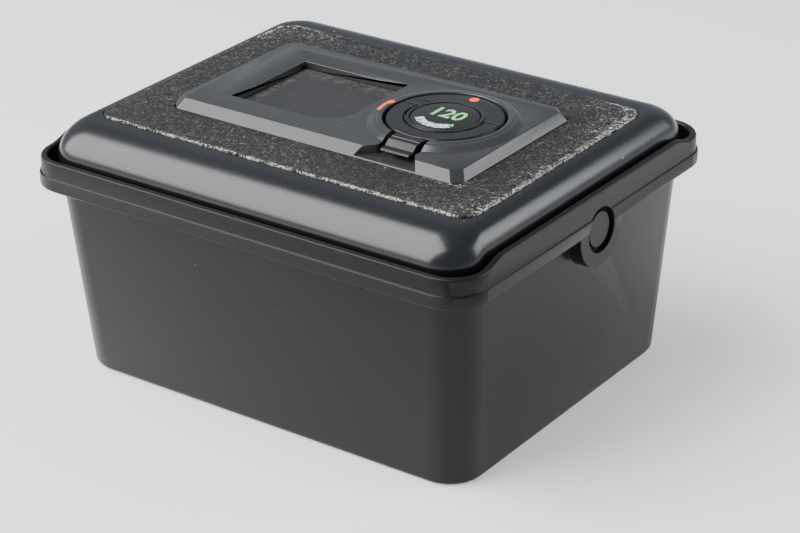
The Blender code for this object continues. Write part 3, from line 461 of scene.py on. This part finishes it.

# %% [markdown]
# ## Printed marks
#
# The marks on the dial are thin layers of paint: green figures, a pale arc and an orange dot.
# Each paint gets a slightly mottled tone, since old ink is never even. The pale arc on such
# dials has small dark traces in it, which noise can suggest with no lettering. The orange and
# green paints also get a little emission in their own colour: a painted glow that makes them
# brighter than the light on them would.

# %% Finish of the paints


def paint_mark(name, light, dark, scale, low, high, painted_glow=0.0):
    shader, place = start_finish(name, Specular_IOR_Level=0.4, Emission_Strength=painted_glow)
    worn = step(grain(place, scale, 4.0, 0.65, 0.5), low, high)
    colour = tint(worn, light, dark)
    # Emission in the paint's own colour: a painted glow.
    if painted_glow:
        place.tree.links.new(colour.socket, shader.inputs["Emission Color"])
    end_finish(shader, colour, 0.40 + worn * 0.15, worn, 0.01, 0.3)


# The last number is the painted glow, emission in the paint's own colour.
paint_mark("orange_paint", (0.90, 0.105, 0.0, 1), (0.72, 0.07, 0.0, 1), 700, 0.45, 0.8, 0.1)
paint_mark("green_paint", (0.17, 0.52, 0.19, 1), (0.10, 0.34, 0.12, 1), 900, 0.50, 0.80, 0.15)
paint_mark("pale_paint", (0.56, 0.62, 0.68, 1), (0.10, 0.13, 0.16, 1), 1100, 0.47, 0.60)

# %% [markdown]
# ## Metals and plastics inside
#
# Below the cover are the frame, the rollers, the gears and the spool. They are carried over
# from the CAD with its exact shapes, so only their finish is made here. A turned steel part
# has fine rings, a pressed alloy part a blasted black skin, and the gears are pale acetal
# with grease in their teeth. A small rounding of the edges in the shading does for parts
# that are a few millimetres across.

# %% Finishes inside


def paint_metal(name, light, dark, roughness, metallic, lines, edge_mm=0.25):
    shader, place = start_finish(name, Metallic=metallic)
    brushed = grain(stretched(place, lines), 8.0, 4.0, 0.7)
    stains = grain(place, 160, 4.0, 0.6)
    colour = tint(stains * 0.6 + brushed * 0.4, light, dark)
    rough = roughness + brushed * 0.12 + stains * 0.10
    end_finish(shader, colour, rough, brushed + stains * 0.3, 0.01, 0.5, edge_mm)


def paint_plastic(name, light, dark, roughness, scale, edge_mm=0.25):
    shader, place = start_finish(name, Specular_IOR_Level=0.5)
    cloud = grain(place, scale, 4.0, 0.6)
    grease = step(grain(place, scale * 2.2, 3.0, 0.6, 0.8), 0.60, 0.72)
    colour = tint(cloud * 0.7 + grease * 0.3, light, dark)
    rough = roughness + cloud * 0.12 - grease * 0.08
    end_finish(shader, colour, rough, cloud + grain(place, 2200) * 0.4, 0.02, 0.4, edge_mm)


ACROSS = (30, 900, 900)
paint_metal("spring_steel", grey(0.62), grey(0.40, 0.03), 0.20, 1.0, ACROSS)
paint_metal("dark_screw_steel", grey(0.16), grey(0.08, 0.03), 0.30, 1.0, ACROSS)
paint_metal("black_alloy", grey(0.030), grey(0.050), 0.38, 0.5, (700, 700, 60))
paint_plastic("acetal", (0.70, 0.68, 0.61, 1), (0.50, 0.46, 0.38, 1), 0.35, 220)
paint_plastic("spool_plastic", grey(0.016), grey(0.028), 0.28, 160)
paint_plastic("seal_foam", grey(0.012), grey(0.030), 0.90, 1300)

FINISH_OF_SLOT = {
    "case_plastic": "satin_case_plastic", "cover_gloss": "black_gloss_lacquer",
    "grained_covering": "grained_covering", "bezel_black": "bezel_enamel",
    "knob_black": "knob_enamel", "steel": "spring_steel", "black_alloy": "black_alloy",
    "gear_plastic": "acetal", "spool_plastic": "spool_plastic", "seal_foam": "seal_foam",
    "screw_steel": "dark_screw_steel",
}
for part in frame["record"]["subparts"]:
    finish = FINISHES[FINISH_OF_SLOT[part["material_slot"]]]
    if part["node"] == "memo_plate":
        finish = FINISHES["memo_plate_enamel"]
    node = frame["nodes"][part["node"]]
    node.data.materials.clear()
    node.data.materials.append(finish)
print(len(FINISHES), "finishes on", len(frame["nodes"]), "CAD nodes")

# %% [markdown]
# ## Turning a bmesh into a piece
#
# New pieces end in the same way: their normals are recalculated, broad curves are shaded
# smooth while edges sharper than a chosen angle stay crisp, and the piece rides on the body
# that carries it. It takes the finish it is given, and the CAD node that it stands for, if
# any, is hidden.

# %% From bmesh to piece


def add_piece(name, work, finish, body, node=None, angle=35):
    """A finished piece from a bmesh, which is used up."""
    bmesh.ops.recalc_face_normals(work, faces=work.faces)
    mesh = bpy.data.meshes.new(name)
    work.to_mesh(mesh)
    work.free()
    mesh.materials.append(FINISHES[finish])
    mesh.shade_smooth()
    mesh.set_sharp_from_angle(angle=math.radians(angle))
    piece = bpy.data.objects.new(name, mesh)
    bpy.context.scene.collection.objects.link(piece)
    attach(piece, body)
    if node:
        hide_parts(node)
    print(name, len(mesh.polygons), "faces")
    return piece


# %% [markdown]
# ## Softened castings
#
# The case, the bezel, the knob and its key have the right shape in the CAD, but a CAD edge is
# perfectly sharp and catches no light. A real moulding has a small radius on every edge, and
# that thin bright line is what makes it look solid. A copy of each node is welded, its flat
# triangles are dissolved into whole faces, and a Bevel modifier rounds what is left.

# %% Soften the castings


def soften(node, body, finish, radius_mm, segments=2, angle=32):
    """A welded copy of a CAD node with rounded edges."""
    work = bmesh.new()
    work.from_mesh(frame["nodes"][node].data)
    bmesh.ops.remove_doubles(work, verts=work.verts, dist=mm(0.002))
    bmesh.ops.dissolve_limit(work, angle_limit=math.radians(0.6), verts=work.verts,
                             edges=work.edges, use_dissolve_boundaries=False)
    piece = add_piece(node + "_softened", work, finish, body, node, angle)
    bevel = piece.modifiers.new("soft edges", "BEVEL")
    bevel.width = mm(radius_mm)
    bevel.segments = segments
    bevel.limit_method = "ANGLE"
    bevel.angle_limit = math.radians(angle)
    bevel.use_clamp_overlap = False
    bevel.harden_normals = True
    return piece


soften("case_tub", "case", "satin_case_plastic", 0.16)
soften("bezel_plate", "insert", "bezel_enamel", 0.12)
soften("lock_knob", "knob", "knob_enamel", 0.10)
soften("key_ring", "key", "knob_enamel", 0.10)

# %% [markdown]
# ## Copies of the springs
#
# Two coil springs push the spool studs in, and two bowed strips push the pressure plate down.
# A real spring gets shorter when its part moves. Here each one is a welded copy of its CAD
# node that rides on the insert, with a mesh of its own.

# %% Copies of the springs


def springy(node):
    """A welded copy of a CAD spring, with a mesh of its own."""
    work = bmesh.new()
    work.from_mesh(frame["nodes"][node].data)
    bmesh.ops.remove_doubles(work, verts=work.verts, dist=mm(0.002))
    piece = add_piece(node + "_springy", work, "spring_steel", "insert", node)
    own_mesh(piece)


for name in ("supply", "takeup"):
    springy(name + "_stud_spring")
for name in ("front", "rear"):
    springy("plate_spring_" + name)

# %% [markdown]
# ## Rounded rectangles
#
# The cover and the covering are both rectangles with round corners. Such a face starts as a
# grid of one square whose four corners are bevelled. Extruding it again and again, and
# refitting the new face each time, grows a shell ring by ring. The refit moves the straight
# sides and the corner arcs apart, so that the corners stay round at any size. An extrusion
# leaves its old face inside the shell, so that one is deleted, except the very first, which
# closes the shell's inside.

# %% Grow a shell from a rounded rectangle

CORNER_SEGMENTS = 14


def rounded_face(half_x, half_y, corner, height):
    """A bmesh with one flat face in it."""
    work = bmesh.new()
    bmesh.ops.create_grid(work, x_segments=1, y_segments=1, size=1.0)
    bmesh.ops.scale(work, vec=(half_x, half_y, 1), verts=work.verts)
    bmesh.ops.bevel(work, geom=work.verts[:], offset=corner, offset_type="OFFSET",
                    affect="VERTICES", segments=CORNER_SEGMENTS, profile=0.5, material=-1)
    bmesh.ops.translate(work, vec=(0, 0, height), verts=work.verts)
    return work


def refit(verts, old, new, height):
    """Moves a ring from its old half sizes and corner radius to new ones."""
    for vert in verts:
        for axis in (0, 1):
            reach = old[axis] - old[2]
            along = max(-reach, min(reach, vert.co[axis]))
            turned = (vert.co[axis] - along) / old[2]
            vert.co[axis] = along / reach * (new[axis] - new[2]) + turned * new[2]
        vert.co.z = height


def grow(work, rings):
    """Extrudes the bmesh's only face through rings of (half x, half y, corner, height)."""
    first = face = work.faces[:][0]
    for old, new in zip(rings, rings[1:]):
        made = bmesh.ops.extrude_face_region(work, geom=[face])["geom"]
        if face is not first:
            bmesh.ops.delete(work, geom=[face], context="FACES_ONLY")
        face = next(item for item in made if isinstance(item, bmesh.types.BMFace))
        refit(face.verts, old[:3], new[:3], new[3])
    return face


# %% [markdown]
# ## The cover pan
#
# The cover's beauty is the roll between its flat top and its sides: it is wider on the long
# sides than on the short ones. A few CAD facets would break the reflection, so the pan is
# grown again with many fine rings along a quarter of an ellipse. The hidden inside is a plain
# hollow. The last rings go down into the shallow recess that the covering is glued into.

# %% Build the cover

SKIRT = mm(1.7)              # thickness of the pan's sides
CEILING = mm(57.9)           # inside of the pan
ROLL_X, ROLL_Y = mm(5.4), mm(9.4)
ROLL_STEPS = 22
OUTER_CORNER, TOP_CORNER = mm(8.7), mm(4.8)
roll_foot, roll_top = cover_low.z + mm(4.3), cover_high.z
rings = [
    (cover_x - mm(8.0), cover_y - mm(12.5), mm(3.0), CEILING),
    (cover_x - mm(1.9), cover_y - mm(3.4), mm(6.0), roll_foot + mm(1.0)),
    (cover_x - SKIRT, cover_y - SKIRT, mm(7.0), roll_foot - mm(1.5)),
    (cover_x - SKIRT, cover_y - SKIRT, mm(7.0), cover_low.z),
    (cover_x - mm(0.2), cover_y - mm(0.2), mm(8.5), cover_low.z),
    (cover_x, cover_y, OUTER_CORNER, cover_low.z + mm(0.3)),
]
for k in range(ROLL_STEPS + 1):
    turn = math.radians(90 * k / ROLL_STEPS)
    inward = 1 - math.cos(turn)
    rings.append((cover_x - ROLL_X * inward, cover_y - ROLL_Y * inward,
                  OUTER_CORNER - (OUTER_CORNER - TOP_CORNER) * inward,
                  roll_foot + (roll_top - roll_foot) * math.sin(turn)))
recess = ((0.38, 5.0, 60.3), (0.33, 4.9, 60.3), (0.18, 4.7, 60.22), (0.12, 4.7, 59.95))
for gap, corner, height in recess:
    rings.append((leather_x + mm(gap), leather_y + mm(gap), mm(corner), mm(height)))
work = rounded_face(*rings[0])
grow(work, rings)
cover = add_piece("rolled_cover", work, "black_gloss_lacquer", "insert", "back_cover",
                  angle=40)

# %% [markdown]
# ## Notches for the latch bars
#
# Each end of the pan has a notch that its latch bar slides through. A Boolean modifier cuts a
# box out, and is applied at once, so that the mesh is final before the piece is used.

# %% Cut the notches


def cut_box(piece, low, high):
    """Cuts a box out of a piece with a Boolean modifier that is applied at once."""
    tool_work = bmesh.new()
    bmesh.ops.create_cube(tool_work, size=1.0)
    bmesh.ops.scale(tool_work, vec=high - low, verts=tool_work.verts)
    bmesh.ops.translate(tool_work, vec=(high + low) / 2, verts=tool_work.verts)
    tool_mesh = bpy.data.meshes.new("cutter")
    tool_work.to_mesh(tool_mesh)
    tool_work.free()
    tool = bpy.data.objects.new("cutter", tool_mesh)
    bpy.context.scene.collection.objects.link(tool)
    boolean = piece.modifiers.new("notch", "BOOLEAN")
    boolean.operation = "DIFFERENCE"
    boolean.solver = "EXACT"
    boolean.object = tool
    evaluated = piece.evaluated_get(bpy.context.evaluated_depsgraph_get())
    cut = bpy.data.meshes.new_from_object(evaluated)
    piece.modifiers.remove(boolean)
    bpy.data.objects.remove(tool)
    piece.data = cut


for left_end in (-58, 54):
    cut_box(cover, mm((left_end, -2.2, 48)), mm((left_end + 4, 7.4, 51.4)))
print("cover with its notches:", len(cover.data.polygons), "faces")

# %% [markdown]
# ## The covering
#
# The sheet is a frame round the bezel. One rounded face is inset to make the frame, the inner
# part is refitted to the bezel and removed, and the frame is extruded to its thickness. The
# outline is divided finely first, because its edge gets worn in the next step.

# %% Build the covering

SHEET_CORNER, HOLE_CORNER = mm(4.5), mm(3.6)
HOLE_GAP = mm(0.25)
INSET = mm(4)
OUTLINE_STEP = mm(0.7)

work = rounded_face(leather_x, leather_y, SHEET_CORNER, leather_low.z)
inner_face = work.faces[:][0]
bmesh.ops.inset_region(work, faces=[inner_face], thickness=INSET, use_even_offset=True,
                       use_boundary=True)
inset_size = (leather_x - INSET, leather_y - INSET, SHEET_CORNER - INSET)
hole_size = (bezel_x + HOLE_GAP, bezel_y + HOLE_GAP, HOLE_CORNER)
refit(inner_face.verts, inset_size, hole_size, leather_low.z)
outline = [edge for edge in work.edges if not set(edge.verts) & set(inner_face.verts)]
bmesh.ops.delete(work, geom=[inner_face], context="FACES")
for edge in outline:
    cuts = int(edge.calc_length() / OUTLINE_STEP)
    if cuts:
        bmesh.ops.subdivide_edges(work, edges=[edge], cuts=cuts)
sheet = bmesh.ops.extrude_face_region(work, geom=work.faces[:])["geom"]
raised = [item for item in sheet if isinstance(item, bmesh.types.BMVert)]
bmesh.ops.translate(work, vec=(0, 0, leather_high.z - leather_low.z), verts=raised)
print("covering before wear:", len(work.faces), "faces")

# %% [markdown]
# ## Wear on the covering's edge
#
# The upper outer edge is worn round, which a bevel of that edge alone gives. A knife never
# leaves a perfect edge in old covering, so each point near the outline is pushed in a little
# by noise. That gives the ragged dark line where the sheet has shrunk away from the cover.

# %% Wear the edge

BORDER = mm(6)
WORN_RADIUS = mm(0.38)


def at_edge(vert):
    """Whether a vertex is at the outline and not at the hole."""
    return abs(vert.co.x) > leather_x - BORDER or abs(vert.co.y) > leather_y - BORDER


top_edges = [edge for edge in work.edges if edge.calc_face_angle(0.0) > math.radians(60)
             and all(vert in raised and at_edge(vert) for vert in edge.verts)]
bmesh.ops.bevel(work, geom=top_edges, offset=WORN_RADIUS, offset_type="OFFSET",
                affect="EDGES", segments=3, profile=0.5, material=-1)
for vert in filter(at_edge, work.verts):
    wander = noise.noise(Vector((vert.co.x, vert.co.y, 0)) * 500)
    wander += 0.5 * noise.noise(Vector((vert.co.x, vert.co.y, 1)) * 1500)
    shrink = mm(0.07) + mm(0.10) * wander
    vert.co.x -= math.copysign(shrink, vert.co.x) * (abs(vert.co.x) > leather_x - SHEET_CORNER)
    vert.co.y -= math.copysign(shrink, vert.co.y) * (abs(vert.co.y) > leather_y - SHEET_CORNER)
add_piece("grained_sheet", work, "grained_covering", "insert", "leatherette")

# %% [markdown]
# ## Turned pieces
#
# The cap in the middle of the dial is turned. Its section is drawn as a few vertices and
# spun round the dial's axis. The cap stands a few hundredths of a millimetre lower than the
# knob round it, which leaves room for the thickness of the paint.

# %% Spin the cap


def spun(profile, centre, steps):
    """A bmesh of a section of (radius, height) spun once round a vertical axis."""
    work = bmesh.new()
    verts = [work.verts.new((centre.x + radius, centre.y, height)) for radius, height in profile]
    edges = [work.edges.new(pair) for pair in zip(verts, verts[1:])]
    bmesh.ops.spin(work, geom=verts + edges, cent=centre, axis=(0, 0, 1), angle=math.tau,
                   steps=steps, use_merge=True)
    bmesh.ops.remove_doubles(work, verts=work.verts, dist=mm(0.001))
    return work


cap_radius = (cap_high.x - cap_low.x) / 2
cap_top = cap_high.z - mm(0.05)
section = [(0.0, cap_top), (cap_radius - mm(0.35), cap_top),
           (cap_radius - mm(0.12), cap_top - mm(0.04)), (cap_radius, cap_top - mm(0.16)),
           (cap_radius, cap_low.z), (0.0, cap_low.z)]
add_piece("printed_cap", spun(section, dial, 96), "knob_enamel", "knob", "dial_cap")

# %% [markdown]
# ## The marks on the dial
#
# Three kinds of flat shape make all the marks. Figures are a text object turned into a mesh
# and fitted to a rectangle. An arc is a short edge spun through part of a turn. A dot is a
# filled circle, and so is the pointer, with three corners. All of them are extruded to the
# thickness of a coat of paint.

# %% Shapes for the marks

PAINT = mm(0.03)


def raise_paint(work):
    """Gives flat faces the thickness of a coat of paint."""
    made = bmesh.ops.extrude_face_region(work, geom=work.faces[:])["geom"]
    bmesh.ops.translate(work, vec=(0, 0, PAINT),
                        verts=[item for item in made if isinstance(item, bmesh.types.BMVert)])
    return work


def figures(body, low, high, height):
    """Text as a flat bmesh that fills the rectangle from low to high."""
    curve = bpy.data.curves.new("figures", "FONT")
    curve.body = body
    curve.resolution_u = 6
    curve.offset = 0.02          # bolder strokes
    text = bpy.data.objects.new("figures", curve)
    bpy.context.scene.collection.objects.link(text)
    mesh = bpy.data.meshes.new_from_object(text.evaluated_get(bpy.context.evaluated_depsgraph_get()))
    work = bmesh.new()
    work.from_mesh(mesh)
    bpy.data.objects.remove(text)
    xs = [vert.co.x for vert in work.verts]
    ys = [vert.co.y for vert in work.verts]
    scale_x = (high[0] - low[0]) / (max(xs) - min(xs))
    scale_y = (high[1] - low[1]) / (max(ys) - min(ys))
    bmesh.ops.translate(work, vec=(-min(xs), -min(ys), 0), verts=work.verts)
    bmesh.ops.scale(work, vec=(scale_x, scale_y, 1), verts=work.verts)
    bmesh.ops.translate(work, vec=(low[0], low[1], height), verts=work.verts)
    return work


def disc(centre, radius, height, segments):
    """A flat circle, or a triangle that points to the right with three segments."""
    work = bmesh.new()
    place = Matrix.Translation((*centre, height))
    bmesh.ops.create_circle(work, cap_ends=True, segments=segments, radius=radius, matrix=place)
    return work


def arc_band(inner, outer_radius, start, end, height):
    """A flat band round the dial's axis, with its angles in degrees."""
    work = bmesh.new()
    ends = [work.verts.new((dial.x + radius, dial.y, height)) for radius in (inner, outer_radius)]
    edge = work.edges.new(ends)
    bmesh.ops.rotate(work, cent=dial, matrix=Matrix.Rotation(math.radians(start), 3, "Z"),
                     verts=ends)
    bmesh.ops.spin(work, geom=[*ends, edge], cent=dial, axis=(0, 0, 1),
                   angle=math.radians(end - start), steps=32)
    return work


# %% [markdown]
# ## Laying the marks on
#
# The film size, the arc and its pointer lie on the cap, and the orange dot lies on the fixed
# half-moon of the knob. They all ride on the knob, so the marks turn with it.

# %% Lay the marks on

knob_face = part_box("lock_knob")[1].z - mm(0.15)
marks = [
    ("film_size", figures("120", mm((17.2, -0.8)), mm((24.9, 3.9)), cap_top), "green_paint"),
    ("pale_arc", arc_band(mm(4.6), mm(6.7), 217, 314, cap_top), "pale_paint"),
    ("arc_pointer", disc(mm((24.84, -3.51)), mm(0.85), cap_top, 3), "green_paint"),
    ("index_dot", disc(mm((20.56, 11.6)), mm(1.15), knob_face, 40), "orange_paint"),
]
for name, work, finish in marks:
    add_piece(name, raise_paint(work), finish, "knob")

# %% [markdown]
# ## Table
#
# The object stands on a pale table, lighter and warmer in front and darker and bluer behind:
# a painted falloff of the light. It is part of the stage and not of the object. It glows
# faintly, so that the shadows on it stay light.

# %% Table


def paint_floor():
    shader, place = start_finish("pale_table", Specular_IOR_Level=0.3, Emission_Strength=0.36,
                                 Emission_Color=(0.95, 0.97, 1.0, 1))
    cloud = grain(place, 9, 5.0, 0.65)
    marks_on_table = step(grain(stretched(place, (1, 3, 1)), 30, 5.0, 0.7, 0.5), 0.60, 0.80)
    # Painted falloff of the light: the table's colour gets darker and bluer further back.
    painted_falloff = step(axis_of(place, "Y") - axis_of(place, "X") * 0.7, mm(-300), mm(900))
    colour = tint(painted_falloff, (0.80, 0.775, 0.745, 1), (0.50, 0.55, 0.60, 1))
    colour = tint(cloud * 0.10 + marks_on_table * 0.08, colour, grey(0.45))
    end_finish(shader, colour, 0.45 + cloud * 0.15, cloud, 0.2, 0.1)


paint_floor()
work = bmesh.new()
bmesh.ops.create_grid(work, x_segments=1, y_segments=1, size=2.5)
bmesh.ops.translate(work, vec=(0, 0, cad_low.z - mm(0.02)), verts=work.verts)
mesh = bpy.data.meshes.new("table")
work.to_mesh(mesh)
work.free()
mesh.materials.append(FINISHES["pale_table"])
table = bpy.data.objects.new("table", mesh)
bpy.context.scene.collection.objects.link(table)
print("table", table.dimensions.x, "m wide")

# %% [markdown]
# ## Light
#
# One big soft light stands to the front left and reaches from high above down towards the
# table: it draws the broad pale band along the rolled edge of the cover. A weaker one at the
# rear right lights the right wall. The front right is left dark, which keeps the rounded
# corner of the cover deep black, and an even pale world fills in the rest.

# %% Lights and world

TARGET = Vector((0, 0, mm(40)))


def softbox(name, direction, distance, size, power, colour):
    """A rectangular light that faces the object."""
    light = bpy.data.lights.new(name, "AREA")
    light.shape = "RECTANGLE"
    light.size, light.size_y = size
    light.energy = power
    light.color = colour
    lamp = bpy.data.objects.new(name, light)
    bpy.context.scene.collection.objects.link(lamp)
    aim = Vector(direction).normalized()
    lamp.location = TARGET + aim * distance
    lamp.rotation_euler = aim.to_track_quat("Z", "Y").to_euler()


softbox("key_softbox", (-0.52, -0.46, 0.64), 1.1, (1.3, 1.4), 52.0, (1.0, 0.97, 0.98))
softbox("fill_softbox", (0.80, 0.62, 0.42), 1.6, (1.0, 0.8), 16.0, (0.96, 0.98, 1.0))

world = bpy.data.worlds.new("studio")
world.use_nodes = True
background = world.node_tree.nodes["Background"]
background.inputs["Color"].default_value = (0.74, 0.80, 0.88, 1)
background.inputs["Strength"].default_value = 0.60
bpy.context.scene.world = world

# %% [markdown]
# ## Camera
#
# The camera looks down on the front right corner through a long lens, so the object's sides
# hardly converge. Its direction is given by an azimuth and an elevation, and it is rolled by
# less than a degree.

# %% Camera

AZIMUTH, ELEVATION, ROLL = math.radians(36.08), math.radians(25.87), math.radians(-0.9)
back = Vector((math.sin(AZIMUTH) * math.cos(ELEVATION), -math.cos(AZIMUTH) * math.cos(ELEVATION),
               math.sin(ELEVATION)))
side = Vector((math.cos(AZIMUTH), math.sin(AZIMUTH), 0))
up = back.cross(side)
right_of_view = side * math.cos(ROLL) + up * math.sin(ROLL)
up_of_view = up * math.cos(ROLL) - side * math.sin(ROLL)
lens = bpy.data.cameras.new("camera")
lens.lens = 115.74
lens.sensor_width = 36.0
lens.clip_start, lens.clip_end = 0.01, 20.0
camera = bpy.data.objects.new("camera", lens)
camera.matrix_world = Matrix((right_of_view, up_of_view, back)).transposed().to_4x4()
camera.location = mm((320.16, -428.65, 281.43))
bpy.context.scene.collection.objects.link(camera)
bpy.context.scene.camera = camera
print("camera", round(camera.location.length, 3), "m from the origin,", lens.lens, "mm lens")
